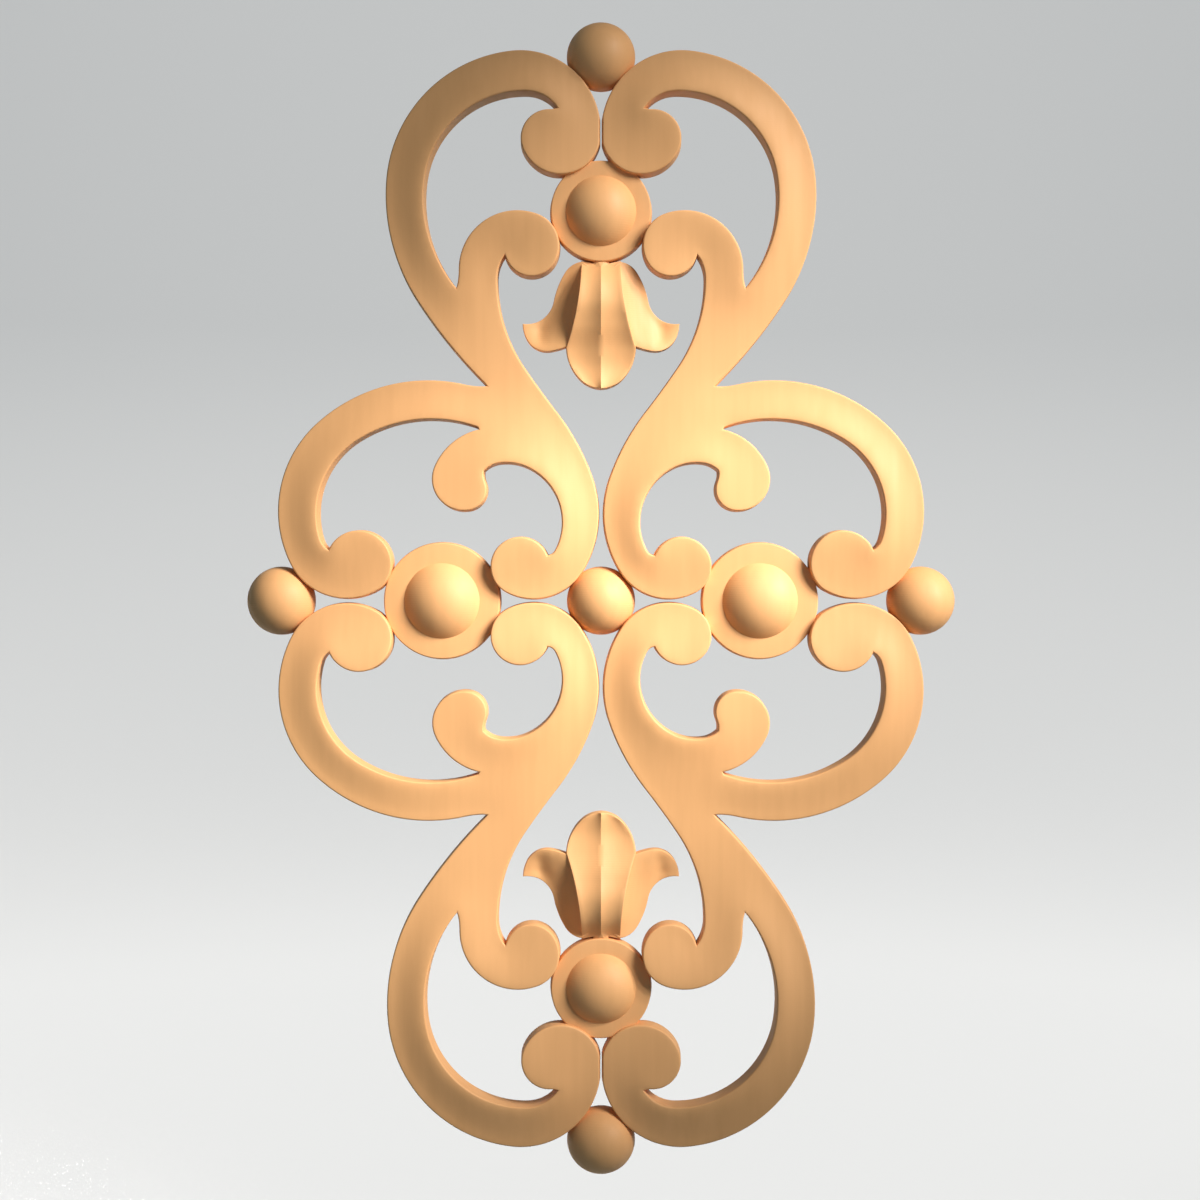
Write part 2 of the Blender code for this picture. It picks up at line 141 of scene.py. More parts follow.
def areWithin(points, begins, ends):
    # which points the sides close in, by the even-odd rule
    within = np.zeros(len(points), dtype=bool)
    for (x1, z1), (x2, z2) in zip(begins, ends):
        if z1 == z2:
            continue
        spans = (points[:, 1] > min(z1, z2)) & (points[:, 1] <= max(z1, z2))
        within ^= spans & (points[:, 0] < x1 + (points[:, 1] - z1) * (x2 - x1) / (z2 - z1))
    return within


def gapTo(outline, points):
    # the distance from each point to the outline's nearest corner
    tree = KDTree(len(outline))
    for index, (x, z) in enumerate(outline):
        tree.insert((x, z, 0), index)
    tree.balance()
    return np.array([tree.find((x, z, 0))[2] for x, z in points])


def clearPoints(points, rim, pitch):
    # the points that lie inside the rim and not too near to it
    points = np.array(points)
    inner = points[areWithin(points, rim, np.roll(rim, -1, axis=0))]
    return inner[gapTo(rim, inner) > cutting["rimClearance"] * pitch]


def staggeredGrid(rim, pitch):
    # the corners of even-sided triangles
    low, high = rim.min(axis=0), rim.max(axis=0)
    rowStep = pitch * math.sqrt(0.75)
    grid = []
    for row in range(int((high[1] - low[1]) / rowStep) + 1):
        x = low[0] + 0.5 * pitch * (row % 2)
        while x < high[0]:
            grid.append((x, low[1] + row * rowStep))
            x += pitch
    return clearPoints(grid, rim, pitch)


def stretchSkin(points, triangles, rimLevels):
    # the levels of the rim spread over the face as a stretched skin, each side of a triangle
    # pulling by the angles that face it
    count = len(points)
    fixed = len(rimLevels)
    ends = []
    pulls = []
    for corner in range(3):
        apex, left, right = (triangles[:, (corner + turn) % 3] for turn in range(3))
        u, v = points[left] - points[apex], points[right] - points[apex]
        twiceArea = np.maximum(np.abs(u[:, 0] * v[:, 1] - u[:, 1] * v[:, 0]), cutting["leastArea"])
        ends.append(np.column_stack((left, right)))
        pulls.append((u * v).sum(axis=1) / twiceArea)
    ends = np.vstack(ends)
    pulls = np.concatenate(pulls)
    near, far = np.concatenate((ends[:, 0], ends[:, 1])), np.concatenate((ends[:, 1], ends[:, 0]))
    pulls = np.concatenate((pulls, pulls))
    total = np.bincount(near, weights=pulls, minlength=count)
    levels = np.full(count, rimLevels.mean())
    levels[:fixed] = rimLevels
    for sweep in range(cutting["skinSweeps"]):
        mean = np.bincount(near, weights=pulls * levels[far], minlength=count) / total
        levels[fixed:] = mean[fixed:]
    for easing in range(cutting["easings"]):
        mean = np.bincount(near, weights=pulls * levels[far], minlength=count) / total
        levels = (levels + mean) / 2
    return levels


def rolledEdge(inset, roll):
    # steps from a wall to the face it rolls over into, as (distance moved in, drop below the face)
    turns = [0.5 * math.pi * step / cutting["rollSteps"] for step in range(cutting["rollSteps"])]
    return [(inset - roll * math.cos(turn), roll * (1 - math.sin(turn))) for turn in turns]


def carvedSolid(name, outline, piece, pastBack, pitch, heightAt, rimLevels=None, lines=()):
    # a leaning wall with a rolled edge around a carved face, run a little past the back.
    # heightAt takes the face's points and their levels. lines are rows of points to keep
    count = len(outline)
    rim = movedIn(outline, piece["inset"])
    plan = list(rim)
    creases = []
    for line in lines:
        kept = clearPoints(line, rim, pitch)
        creases += [(len(plan) + step, len(plan) + step + 1) for step in range(len(kept) - 1)]
        plan += list(kept)
    if not len(lines):
        plan += list(staggeredGrid(rim, pitch))
    found = delaunay_2d_cdt([Vector(point) for point in plan], creases, [list(range(count))], 1,
                            cutting["samePoint"])
    order = [None] * len(found[0])
    kept = []
    for made, sources in enumerate(found[3]):
        if min(sources, default=count) < count:
            order[made] = min(sources)
        else:
            order[made] = count + len(kept)
            kept.append(made)
    facePoints = np.vstack((rim, [found[0][made] for made in kept]))
    triangles = np.array([[order[corner] for corner in face] for face in found[2]])
    levels = None if rimLevels is None else stretchSkin(facePoints, triangles, rimLevels)
    heights = heightAt(facePoints, levels)

    solid = bmesh.new()
    rings = [[solid.verts.new((x, pastBack, z)) for x, z in outline]]
    for distance, drop in rolledEdge(piece["inset"], piece["roll"]):
        ring = outline + (rim - outline) * distance / piece["inset"]
        rings.append([solid.verts.new((x, drop - height, z))
                      for (x, z), height in zip(ring, heights)])
    face = [solid.verts.new((x, -height, z)) for (x, z), height in zip(facePoints, heights)]
    rings.append(face[:count])
    for corners in triangles:
        solid.faces.new([face[corner] for corner in corners])
    for lower, upper in zip(rings, rings[1:]):
        for here in range(count):
            there = (here + 1) % count
            solid.faces.new((lower[here], lower[there], upper[there], upper[here]))
    back = delaunay_2d_cdt([Vector(point) for point in outline], [], [list(range(count))], 1,
                           cutting["samePoint"])
    for corners in back[2]:
        solid.faces.new([rings[0][corner] for corner in corners])
    bmesh.ops.recalc_face_normals(solid, faces=solid.faces)
    return finishedMesh(name, solid)


def finishedMesh(name, solid):
    mesh = bpy.data.meshes.new(name)
    solid.to_mesh(mesh)
    solid.free()
    return mesh


def turnedSolid(name, profile, segments, pastBack):
    # turned about the y axis from (radius, height) pairs that end on the axis
    solid = bmesh.new()
    rings = []
    for radius, height in [(profile[0][0], -pastBack)] + profile[:-1]:
        angles = [math.tau * segment / segments for segment in range(segments)]
        rings.append([solid.verts.new((radius * math.cos(a), -height, radius * math.sin(a)))
                      for a in angles])
    top = solid.verts.new((0, -profile[-1][1], 0))
    solid.faces.new(rings[0])
    for here in range(segments):
        there = (here + 1) % segments
        for lower, upper in zip(rings, rings[1:]):
            solid.faces.new((lower[here], lower[there], upper[there], upper[here]))
        solid.faces.new((rings[-1][here], rings[-1][there], top))
    bmesh.ops.recalc_face_normals(solid, faces=solid.faces)
    return finishedMesh(name, solid)


def domeProfile(radius, rise, base, rings):
    sphere = (radius * radius + rise * rise) / (2 * rise)
    rimAngle = math.acos((sphere - rise) / sphere)
    angles = [rimAngle * (1 - ring / rings) for ring in range(rings + 1)]
    return [(sphere * math.sin(a), base + rise - sphere * (1 - math.cos(a))) for a in angles]


def mirrored(mesh, right, up):
    copy = mesh.copy()
    for vert in copy.vertices:
        vert.co.x *= right
        vert.co.z *= up
    if right * up < 0:
        copy.flip_normals()
    return copy


# the scroll of the upper right quarter: points where its edges meet, in squares from the middle
voluteNotch = (44.2, 486.4)
upperFork = (143.3, 311.0)
curlNotch = (95.2, 340.6)
waistFork = (114.4, 213.4)
sideNotch = (269.2, 51.8)
hookFork = (122.0, 170.2)
hookBack = (115.2, 128.3)
eyeNotch = (52.4, 46.0)

# levels run from 0 on the low bands to about 1 on the round ends
scroll = {
    "lowEdge": 0.0068,
    "rise": 0.0050,
    "hollow": 0.2,
    "inset": 0.0010,  # every wall leans in, and rolls over into the face
    "roll": 0.0007,  # radius of the rolled edge
    "halfSlot": 0.00025,  # the four scrolls stay this far clear of the centre lines
    "evenings": 12,  # times that the levels are evened out along the outline
    "pastBack": 0.0005,
    "edges": (
        (voluteNotch, waistFork,
         ((17.3, 22.6), (30.9, -117.0), (43.4, -149.2), (85.7, -101.1),
          (149.2, -79.0), (203.4, -37.5), (526.4, -12.6)),
         ((0.0, 0.9), (0.07, 0.9), (0.14, 0.5), (0.2, 0.3), (0.45, 0.0), (0.7, 0.2),
          (0.9, 0.0), (1.0, 0.0))),
        (waistFork, sideNotch,
         ((78.0, 15.6), (172.5, -55.2), (124.5, -74.2), (65.3, -95.3),
          (21.4, -11.7), (34.8, -200.9)),
         ((0.0, 0.0), (0.25, 0.1), (0.4, 0.3), (0.73, 0.35), (0.81, 0.6), (0.88, 1.1),
          (1.0, 1.1))),
        (sideNotch, hookFork,
         ((16.9, 39.4), (84.8, 75.0), (134.4, 51.8), (1.6, 59.7)),
         ((0.0, 1.1), (0.25, 1.05), (0.5, 0.9), (0.75, 0.65), (1.0, 0.5))),
        (hookFork, hookBack,
         ((67.3, -52.7), (34.1, -122.8), (22.8, -103.0), (20.4, 29.9)),
         ((0.0, 0.5), (0.5, 0.7), (0.85, 1.0), (1.0, 0.95))),
        (hookBack, eyeNotch,
         ((26.2, 37.0), (50.2, 35.3), (59.1, 90.2), (8.5, 53.2)),
         ((0.0, 0.95), (0.3, 0.95), (0.7, 1.05), (1.0, 1.05))),
        (eyeNotch, curlNotch,
         ((30.6, -219.2), (58.7, -84.8), (110.5, -51.7), (236.1, -18.9),
          (883.9, 3.6), (155.4, 34.4), (40.2, 34.3)),
         ((0.0, 1.05), (0.13, 1.0), (0.2, 0.55), (0.27, 0.35), (0.4, 0.35), (0.5, 0.25),
          (0.65, 0.0), (0.92, 0.0), (1.0, 0.38))),
        (curlNotch, upperFork,
         ((27.4, -134.0), (33.7, -101.8), (58.8, -110.0), (62.6, 14.8)),
         ((0.0, 0.38), (0.15, 0.55), (0.3, 0.85), (0.4, 1.0), (0.65, 1.0), (0.8, 0.85),
          (1.0, 0.5))),
        (upperFork, voluteNotch,
         ((140.4, 47.1), (99.5, 83.0), (37.8, 52.8)),
         ((0.0, 0.5), (0.12, 0.8), (0.25, 1.0), (1.0, 0.9))),
    ),
}


def carveScrolls():
    outline, levels = closedOutline(scroll["edges"])
    outline = np.maximum(outline, scroll["halfSlot"])[::-1]
    for evening in range(scroll["evenings"]):
        levels = (np.roll(levels, 1) + 2 * levels + np.roll(levels, -1)) / 4

    def height(points, levels):
        hollow = scroll["hollow"]
        return scroll["lowEdge"] + scroll["rise"] * levels * (1 - hollow + hollow * levels)

    quarter = carvedSolid("quarter", outline, scroll, scroll["pastBack"], cutting["facePitch"],
                          height, rimLevels=levels[::-1])
    four = bmesh.new()
    for right in (1, -1):
        for up in (1, -1):
            four.from_mesh(mirrored(quarter, right, up))
    return finishedMesh("scrolls", four), outline


# a ball in the middle of the onlay, and one at the end of each arm
ball = {
    "bite": 0.0010,  # how far the middle ball sinks into the scrolls, and so its radius
    "endBite": 0.0017,
    "sideBite": 0.0016,
    "seatSteps": 60,
    "segments": 88,
    "rings": 22,
    "pastBack": 0.0008,
}


def seatAlong(outline, direction, begin, reach):
    # how far out along a centre line the scroll is first at that reach
    at = begin
    for step in range(ball["seatSteps"]):
        at += reach - gapTo(outline, [(at * direction[0], at * direction[1])])[0]
    return at


def turnBalls(outline):
    radius = gapTo(outline, [(0, 0)])[0] + ball["bite"]
    mesh = turnedSolid("ball", domeProfile(radius, radius, 0, ball["rings"]), ball["segments"],
                       ball["pastBack"])
    end = seatAlong(outline, (0, 1), voluteNotch[1] * square, radius - ball["endBite"])
    side = seatAlong(outline, (1, 0), sideNotch[0] * square, radius - ball["sideBite"])
    end = min(end, packedHigh.z - radius)
    side = min(side, packedHigh.x - radius)
    return [(mesh, x, z) for x, z in ((0, 0), (0, end), (0, -end), (side, 0), (-side, 0))]


# a flat ring with a domed boss: two of them above and below, two at the sides
disc = {
    "thickness": 0.0062,
    "bossRise": 0.0076,
    "inset": 0.0010,
    "roll": 0.0006,
    "endAt": 386.2,  # in squares from the middle
    "sideAt": 158.0,
    "endLap": 0.0025,
    "sideLap": 0.0014,
    "endRing": 0.0064,
    "sideRing": 0.0085,
    "segments": 112,
    "bossRings": 14,
    "pastBack": 0.0008,
}


def turnDisc(name, radius, ringWidth):
    profile = [(radius, 0)]
    profile += [(radius - distance, disc["thickness"] - drop)
                for distance, drop in rolledEdge(disc["inset"], disc["roll"])]
    profile.append((radius - disc["inset"], disc["thickness"]))
    profile += domeProfile(radius - ringWidth, disc["bossRise"], disc["thickness"],
                           disc["bossRings"])
    return turnedSolid(name, profile, disc["segments"], disc["pastBack"])


# a leaf hangs from each end disc: a ridged middle lobe over two side lobes, drawn in squares
# below the disc's innermost point
leaf = {
    "tabCorner": (8.0, 0.0),
    "neckCorner": (20.0, 2.6),
    "lobeJoint": (35.0, -84.0),
    "tip": (0.0, -125.3),
    "sideArcs": ((230.0, 20.0),),
    "tipArcs": ((49.6, -40.6), (30.7, -45.2)),
    "lap": 0.0030,  # how far the tab runs up under the disc
    "ridgeStations": (0.0, 18.0, 38.0, 61.0, 86.0, 102.0, 126.0),
    "ridge": (0.0054, 0.0112, 0.0134, 0.0112, 0.0071, 0.0059, 0.0075),
    "inset": 0.0005,
    "roll": 0.0003,
    "flute": 0.0013,
    "valley": 0.6,  # where the flute is deepest, as a share of the half width
    "lines": 19,  # rows of points down the middle lobe
    "lineReach": 0.9,  # where the outer rows run, as a share of the half width
    "middleBack": 0.0011,  # how far it runs past the back
    "low": 0.0013,  # lowest edge of a side lobe
    "rise": 0.0059,
    "hollow": 0.5,
    "crease": ((54, -50, 0.1), (57, -58, 0.5), (60, -66, 1.0), (60, -74, 0.8), (58, -80, 0.2)),
    "creaseDepth": 0.0010,  # the crease across a side lobe: places and shares of this depth
    "creaseWidth": 0.0028,
    "creasePoints": 40,
    "sideBack": 0.0014,
}

shoulder = (18.5, 1.6)
sideTip = (78.4, -59.2)
tuckedJoint = (31.0, -82.5)
tuckedNeck = (12.0, -3.0)
nearlyStraight = ((1000.0, 0.1),)
sideLobeEdges = (
    (shoulder, sideTip, ((22.4, -53.3), (79.1, -22.6), (27.4, 87.8)),
     ((0.0, 0.7), (0.15, 0.45), (0.4, 0.15), (0.7, 0.0), (0.85, 0.05), (1.0, 0.35))),
    (sideTip, tuckedJoint, ((36.2, -28.3), (23.2, -70.6), (83.0, -13.5)),
     ((0.0, 0.35), (0.25, 0.38), (0.35, 0.45), (0.5, 0.7), (0.6, 0.78), (0.8, 0.88), (1.0, 0.95))),
    (tuckedJoint, tuckedNeck, ((230.0, -20.0),),
     ((0.0, 0.95), (0.3, 1.05), (0.55, 1.1), (0.8, 1.15), (1.0, 0.8))),
    (tuckedNeck, shoulder, nearlyStraight, ((0.0, 0.8), (1.0, 0.7))),
)


def ridgeHeight(depth):
    # smooth through the stations, at a depth below the neck
    stations = np.array(leaf["ridgeStations"]) * square
    heights = np.array(leaf["ridge"])
    slopes = np.gradient(heights, stations)
    place = np.clip(depth, stations[0], stations[-1])
    left = np.clip(np.searchsorted(stations, place, side="right") - 1, 0, len(stations) - 2)
    span = stations[left + 1] - stations[left]
    t = (place - stations[left]) / span
    return (heights[left] * (1 + 2 * t) * (1 - t) ** 2 + slopes[left] * span * t * (1 - t) ** 2
            + heights[left + 1] * t * t * (3 - 2 * t) + slopes[left + 1] * span * t * t * (t - 1))


def carveMiddleLobe():
    tab = np.multiply(leaf["tabCorner"], square)
    side = arcRun(leaf["neckCorner"], leaf["lobeJoint"], leaf["sideArcs"])
    tip = arcRun(leaf["lobeJoint"], leaf["tip"], leaf["tipArcs"])
    edge = np.vstack((side, tip[1:]))
    right = np.vstack(((tab[0], leaf["lap"]), tab, edge))
    left = right[-2::-1] * (-1, 1)
    outline = np.vstack((right, left))[::-1]

    def halfWidth(depth):
        return np.interp(depth, -edge[:, 1], edge[:, 0])

    def height(points, levels):
        half = np.maximum(halfWidth(-points[:, 1]), tab[0])
        across = np.minimum(np.abs(points[:, 0]) / half, 1)
        flute = 1 - ((across - leaf["valley"]) / leaf["valley"]) ** 2
        return ridgeHeight(-points[:, 1]) - leaf["flute"] * flute

    pitch = cutting["leafPitch"]
    depths = np.arange(pitch, -leaf["tip"][1] * square, pitch)
    shares = np.linspace(-leaf["lineReach"], leaf["lineReach"], leaf["lines"])
    lines = [np.column_stack((share * halfWidth(depths), -depths)) for share in shares]
    return carvedSolid("middleLobe", outline, leaf, leaf["middleBack"], pitch, height, lines=lines)


def carveSideLobe():
    outline, levels = closedOutline(sideLobeEdges)
    marks = np.array(leaf["crease"])
    along = np.linspace(0, len(marks) - 1, leaf["creasePoints"])
    crease = np.column_stack([np.interp(along, range(len(marks)), column) for column in marks.T])

    def height(points, levels):
        gaps = np.linalg.norm(points[:, None] - crease[:, :2] * square, axis=2)
        sunk = (crease[:, 2] * np.exp(-(gaps / leaf["creaseWidth"]) ** 2)).max(axis=1)
        rise = levels * (1 - leaf["hollow"] + leaf["hollow"] * levels)
        return leaf["low"] + leaf["rise"] * rise - leaf["creaseDepth"] * sunk

    return carvedSolid("sideLobe", outline[::-1], leaf, leaf["sideBack"], cutting["leafPitch"],
                       height, rimLevels=levels[::-1])


def turnDiscsAndCarveLeaves(outline):
    solids = []
    sideAt = disc["sideAt"] * square
    sideDisc = turnDisc("sideDisc", gapTo(outline, [(sideAt, 0)])[0] + disc["sideLap"],
                        disc["sideRing"])
    endAt = disc["endAt"] * square
    endRadius = gapTo(outline, [(0, endAt)])[0] + disc["endLap"]
    endDisc = turnDisc("endDisc", endRadius, disc["endRing"])
    middleLobe = carveMiddleLobe()
    sideLobe = carveSideLobe()
    for sign in (1, -1):
        neck = sign * (endAt - endRadius)
        solids.append((sideDisc, sign * sideAt, 0))
        solids.append((endDisc, 0, sign * endAt))
        solids.append((mirrored(middleLobe, 1, sign), 0, neck))
        for right in (1, -1):
            solids.append((mirrored(sideLobe, right, sign), 0, neck))
    return solids


def closeBack(solid):
    # lays the flat back between its sawn edges, and leaves the openings free
    sawn = [edge for edge in solid.edges
            if edge.is_boundary and max(abs(vert.co.y) for vert in edge.verts) < cutting["sawSnap"]]
    corners = list(dict.fromkeys(vert for edge in sawn for vert in edge.verts))
    number = {vert: index for index, vert in enumerate(corners)}
    flat = np.array([(vert.co.x, vert.co.z) for vert in corners])
    sides = [tuple(number[vert] for vert in edge.verts) for edge in sawn]
    found = delaunay_2d_cdt([Vector(point) for point in flat], sides, [], 0, cutting["samePoint"])
    faces = np.array([[found[3][corner][0] for corner in face] for face in found[2]])
    begins, ends = (flat[[side[end] for side in sides]] for end in (0, 1))
    for face in faces[areWithin(flat[faces].mean(axis=1), begins, ends)]:
        solid.faces.new([corners[corner] for corner in face])


def joinAndSaw(onlay, solids):
    # one solid of them all, with everything behind the back plane sawn off
    group = bpy.data.collections.new("joinedIn")
    bpy.context.scene.collection.children.link(group)
    for mesh, x, z in solids:
        lent = bpy.data.objects.new(mesh.name, mesh)
        lent.location = (x, 0, z)
        group.objects.link(lent)
    union = onlay.modifiers.new("joinIn", "BOOLEAN")
    union.operation = "UNION"
    union.solver = "EXACT"
    union.operand_type = "COLLECTION"
    union.collection = group
    joined = bmesh.new()
    joined.from_object(onlay, bpy.context.evaluated_depsgraph_get())
    onlay.modifiers.remove(union)
    for lent in list(group.objects):
        bpy.data.objects.remove(lent, do_unlink=True)
    bpy.data.collections.remove(group)
    bmesh.ops.bisect_plane(joined, geom=joined.verts[:] + joined.edges[:] + joined.faces[:],
                           dist=cutting["sawSnap"], plane_co=(0, 0, 0), plane_no=(0, 1, 0),
                           clear_outer=True)
    closeBack(joined)
    bmesh.ops.recalc_face_normals(joined, faces=joined.faces)
    print("joined and sawn, %d edges open" % sum(not edge.is_manifold for edge in joined.edges))
    joined.to_mesh(onlay.data)
    joined.free()


# smooth orange-tan wood with a faint upright grain and the fine level marks of the cutter
wood = {
    "paleColour": (0.84, 0.425, 0.168, 1.0),
    "darkColour": (0.785, 0.39, 0.15, 1.0),
    "toneRange": (0.35, 0.65),  # noise levels where the colour is all pale, and all dark
    "roughness": (0.52, 0.66),
    "roughRange": (0.3, 0.7),  # noise levels that give the least and the most roughness
    "specular": 0.35,
    "grainScale": (260.0, 260.0, 9.0),  # features to a metre, long along z
    "patchScale": (30.0, 30.0, 7.0),
    "fibreScale": (1500.0, 1500.0, 120.0),
    "grainDetail": 4,
    "patchDetail": 2,
    "fibreDetail": 3,
    "grainShare": 0.55,  # how much of the colour change is grain, the rest being patches
    "markPeriod": 0.0009,  # from one cutter mark to the next
    "markDepth": 0.000012,
    "fibreDepth": 0.000010,
}


def addNode(tree, kind, **settings):
    node = tree.nodes.new("ShaderNode" + kind)
    for name, value in settings.items():
        setattr(node, name, value)
    return node


def scaledNoise(tree, place, scale, detail):
    mapping = addNode(tree, "Mapping")
    mapping.inputs["Scale"].default_value = scale
    tree.links.new(place, mapping.inputs["Vector"])
    noise = addNode(tree, "TexNoise")
    noise.inputs["Scale"].default_value = 1.0
    noise.inputs["Detail"].default_value = detail
    tree.links.new(mapping.outputs["Vector"], noise.inputs["Vector"])
    return noise.outputs["Fac"]


def combined(tree, operation, first, second):
    # first and second are sockets or numbers
    node = addNode(tree, "Math", operation=operation)
    for socket, value in zip(node.inputs, (first, second)):
        if isinstance(value, (int, float)):
            socket.default_value = value
        else:
            tree.links.new(value, socket)
    return node.outputs["Value"]


def spread(tree, value, taken, given):
    # carries one range of numbers over to another
    node = addNode(tree, "MapRange")
    for name, number in zip(("From Min", "From Max", "To Min", "To Max"), taken + given):
        node.inputs[name].default_value = number
    tree.links.new(value, node.inputs["Value"])
    return node.outputs["Result"]


def onlayWood():
    material = bpy.data.materials.new("onlayWood")
    material.use_nodes = True
    tree = material.node_tree
    shader = tree.nodes["Principled BSDF"]
    where = addNode(tree, "TexCoord")
    place = where.outputs["Object"]

    grain = scaledNoise(tree, place, wood["grainScale"], wood["grainDetail"])
    patches = scaledNoise(tree, place, wood["patchScale"], wood["patchDetail"])
    both = combined(tree, "ADD", combined(tree, "MULTIPLY", grain, wood["grainShare"]),
                    combined(tree, "MULTIPLY", patches, 1 - wood["grainShare"]))
    tone = spread(tree, both, wood["toneRange"], (0, 1))
    colours = addNode(tree, "Mix", data_type="RGBA")
    colours.inputs["A"].default_value = wood["paleColour"]
    colours.inputs["B"].default_value = wood["darkColour"]
    tree.links.new(tone, colours.inputs["Factor"])
    tree.links.new(colours.outputs["Result"], shader.inputs["Base Color"])
    tree.links.new(spread(tree, grain, wood["roughRange"], wood["roughness"]),
                   shader.inputs["Roughness"])
    shader.inputs["Specular IOR Level"].default_value = wood["specular"]

    # cutter marks show on the slopes, and not on the flats or the upright walls:
    # 4 * level * (1 - level) is 1 halfway between the two
    facing = addNode(tree, "SeparateXYZ")
    tree.links.new(where.outputs["Normal"], facing.inputs["Vector"])
    level = combined(tree, "ABSOLUTE", facing.outputs["Y"], 0)
    slope = combined(tree, "MULTIPLY", combined(tree, "MULTIPLY", level, 4),
                     combined(tree, "SUBTRACT", 1, level))
    height = addNode(tree, "SeparateXYZ")
    tree.links.new(place, height.inputs["Vector"])
    wave = combined(tree, "SINE",
                    combined(tree, "MULTIPLY", height.outputs["Z"], math.tau / wood["markPeriod"]), 0)
    marks = combined(tree, "MULTIPLY", combined(tree, "MULTIPLY", wave, slope), wood["markDepth"])
    fuzz = scaledNoise(tree, place, wood["fibreScale"], wood["fibreDetail"])
    fibres = combined(tree, "MULTIPLY", fuzz, wood["fibreDepth"])
    bump = addNode(tree, "Bump")
    bump.inputs["Strength"].default_value = 1.0
    bump.inputs["Distance"].default_value = 1.0
    tree.links.new(combined(tree, "ADD", marks, fibres), bump.inputs["Height"])
    tree.links.new(bump.outputs["Normal"], shader.inputs["Normal"])
    return material


mesh, scrollOutline = carveScrolls()
print("scrolls carved, %d faces" % len(mesh.polygons))
onlay = bpy.data.objects.new("carvedOnlay", mesh)
bpy.context.scene.collection.objects.link(onlay)
solids = turnBalls(scrollOutline) + turnDiscsAndCarveLeaves(scrollOutline)
print("%d balls, discs and lobes made" % len(solids))
joinAndSaw(onlay, solids)
onlay.data.shade_smooth()
onlay.data.set_sharp_from_angle(angle=math.radians(cutting["creaseAngle"]))
onlay.data.materials.append(onlayWood())
triangles = sum(len(face.vertices) - 2 for face in onlay.data.polygons)
print("joined into one solid of %d triangles" % triangles)

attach(onlay, "root")
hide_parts("scroll_onlay")


# a wide cove of pale paper: a floor that turns up into a wall all round, well away from the onlay
cove = {
    "floorBelow": 0.50,
    "flatRadius": 1.9,
    "bendRadius": 0.9,
    "wallHeight": 3.0,
    "bendSteps": 16,
    "segments": 96,
    "colour": (0.735, 0.71, 0.68, 1.0),
    "roughness": 0.9,
}


def makeCove():
    profile = [(0.0, 0.0)]
    for step in range(cove["bendSteps"] + 1):
        turn = 0.5 * math.pi * step / cove["bendSteps"]
        profile.append((cove["flatRadius"] + cove["bendRadius"] * math.sin(turn),
                        cove["bendRadius"] * (1 - math.cos(turn))))
    profile.append((cove["flatRadius"] + cove["bendRadius"], cove["wallHeight"]))
    paper = bmesh.new()
    centre = paper.verts.new((0, 0, 0))
    rings = []
    for radius, height in profile[1:]:
        angles = [math.tau * segment / cove["segments"] for segment in range(cove["segments"])]
        rings.append([paper.verts.new((radius * math.cos(a), radius * math.sin(a), height))
                      for a in angles])
    for here in range(cove["segments"]):
        there = (here + 1) % cove["segments"]
        paper.faces.new((centre, rings[0][here], rings[0][there]))
        for lower, upper in zip(rings, rings[1:]):
            paper.faces.new((lower[here], upper[here], upper[there], lower[there]))
    mesh = finishedMesh("cove", paper)
    mesh.shade_smooth()
    obj = bpy.data.objects.new("cove", mesh)
    bpy.context.scene.collection.objects.link(obj)
    obj.location.z = -cove["floorBelow"]
    obj.visible_diffuse = False
    obj.visible_shadow = False
    material = bpy.data.materials.new("palePaper")
    material.use_nodes = True
    shader = material.node_tree.nodes["Principled BSDF"]
    shader.inputs["Base Color"].default_value = cove["colour"]
    shader.inputs["Roughness"].default_value = cove["roughness"]
    mesh.materials.append(material)
    return obj


# where the light comes from, as right, toward the viewer and up
studio = {
    "keyFrom": (0.655, 0.565, 0.50),
    "keyDistance": 1.5,
    "keyPower": 290.0,
    "keyLamps": 6,  # round a middle one, so that the shadows fall softly
    "keyRing": 0.27,  # radius of their ring
    "keyRadius": 0.12,  # radius of each lamp
    "keySpread": 15.0,  # degrees
    "coveSunsFrom": ((1, 1, 0.8), (-1, 1, 0.8), (1, -1, 0.8), (-1, -1, 0.8)),
    "coveSunStrength": 1.6,
    "coveSunAngle": 30.0,  # degrees
    "worldColour": (0.55, 0.80, 1.0, 1.0),
    "worldStrength": 0.17,
}


def towards(direction):
    return Vector((direction[0], -direction[1], direction[2])).normalized()


def addLamp(name, lamp, place):
    # a lamp that is aimed at the middle of the onlay
    obj = bpy.data.objects.new(name, lamp)
    obj.location = place
    obj.rotation_euler = place.to_track_quat("Z", "Y").to_euler()
    bpy.context.scene.collection.objects.link(obj)
    return obj


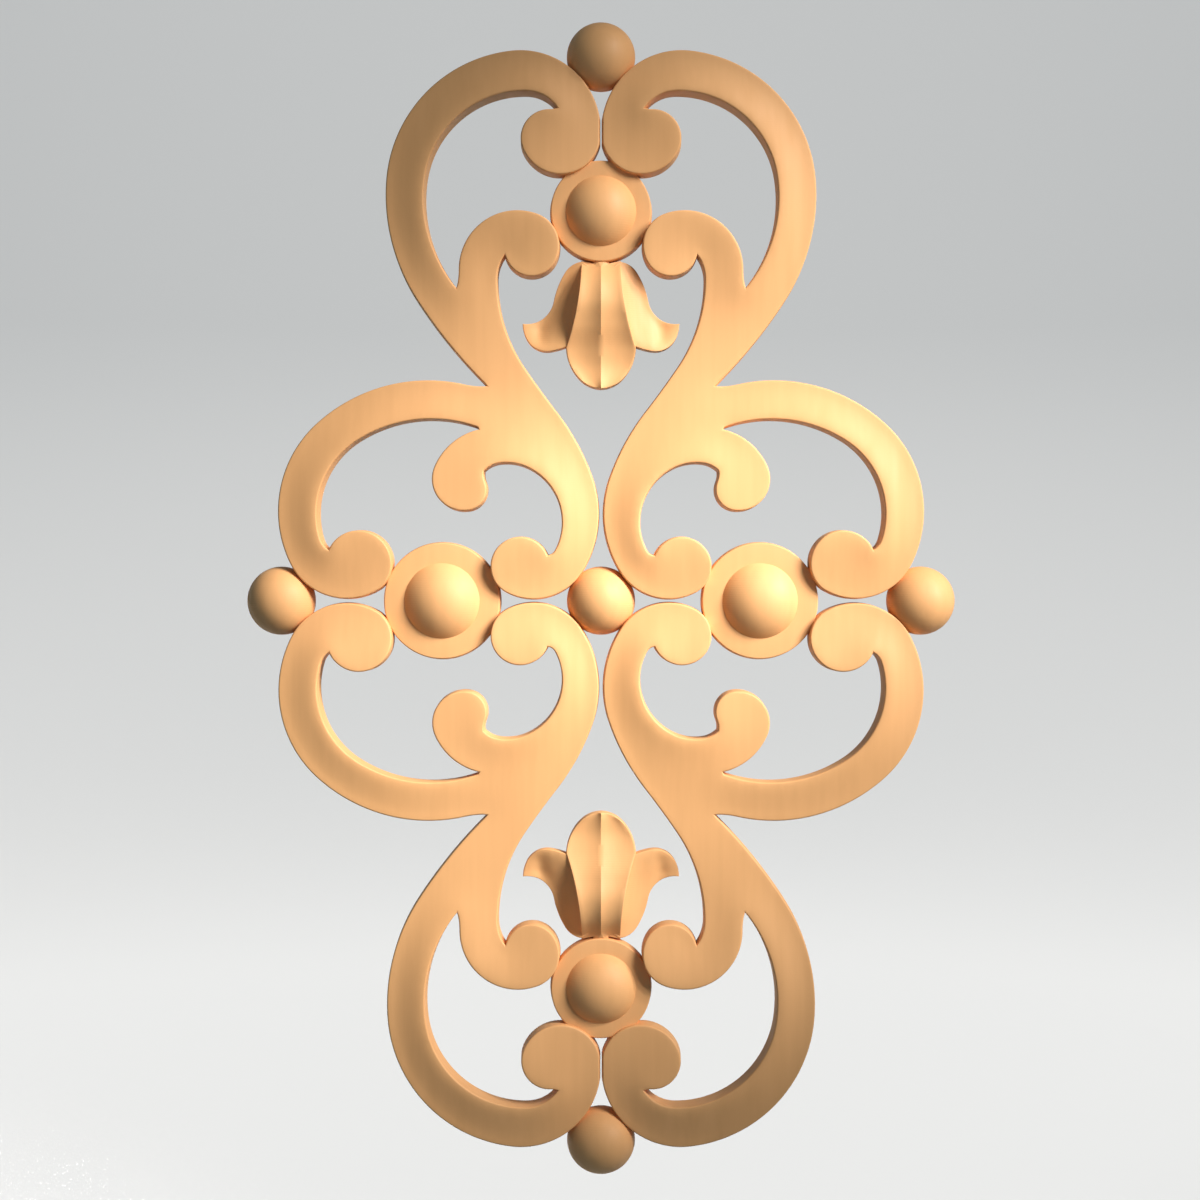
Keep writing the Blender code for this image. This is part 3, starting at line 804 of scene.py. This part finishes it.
def addCoveSun(direction, coveObject):
    # a soft sun that shines on the cove only
    sun = bpy.data.lights.new("coveSun", "SUN")
    sun.energy = studio["coveSunStrength"]
    sun.angle = math.radians(studio["coveSunAngle"])
    lit = bpy.data.collections.new("coveSun")
    lit.objects.link(coveObject)
    addLamp("coveSun", sun, towards(direction)).light_linking.receiver_collection = lit


def lightStudio(coveObject):
    key = bpy.data.lights.new("keyLight", "SPOT")
    key.energy = studio["keyPower"] / (studio["keyLamps"] + 1)
    key.shadow_soft_size = studio["keyRadius"]
    key.spot_size = math.radians(studio["keySpread"])
    key.spot_blend = 1.0
    middle = towards(studio["keyFrom"]) * studio["keyDistance"]
    across = middle.cross(Vector((0, 0, 1))).normalized() * studio["keyRing"]
    above = across.cross(middle).normalized() * studio["keyRing"]
    addLamp("keyLight", key, middle)
    for lamp in range(studio["keyLamps"]):
        turn = math.tau * lamp / studio["keyLamps"]
        addLamp("keyLight", key, middle + across * math.cos(turn) + above * math.sin(turn))
    for direction in studio["coveSunsFrom"]:
        addCoveSun(direction, coveObject)

    world = bpy.data.worlds.new("studio")
    world.use_nodes = True
    background = world.node_tree.nodes["Background"]
    background.inputs["Color"].default_value = studio["worldColour"]
    background.inputs["Strength"].default_value = studio["worldStrength"]
    bpy.context.scene.world = world
    bpy.context.scene.view_settings.view_transform = "Standard"


view = {
    "lens": 66.0,  # millimetres
    "sensorWidth": 36.0,  # millimetres
    "distance": 0.88,
    "elevation": 1.0,  # degrees
    "aimAt": (-0.0004, 0.0, 0.00026),
}


def placeCamera():
    camera = bpy.data.cameras.new("camera")
    camera.lens = view["lens"]
    camera.sensor_width = view["sensorWidth"]
    obj = bpy.data.objects.new("camera", camera)
    back = Vector((0, -math.cos(math.radians(view["elevation"])),
                   math.sin(math.radians(view["elevation"]))))
    obj.location = Vector(view["aimAt"]) + back * view["distance"]
    obj.rotation_euler = back.to_track_quat("Z", "Y").to_euler()
    bpy.context.scene.collection.objects.link(obj)
    bpy.context.scene.camera = obj


lightStudio(makeCove())
placeCamera()
print("studio lit, camera placed")
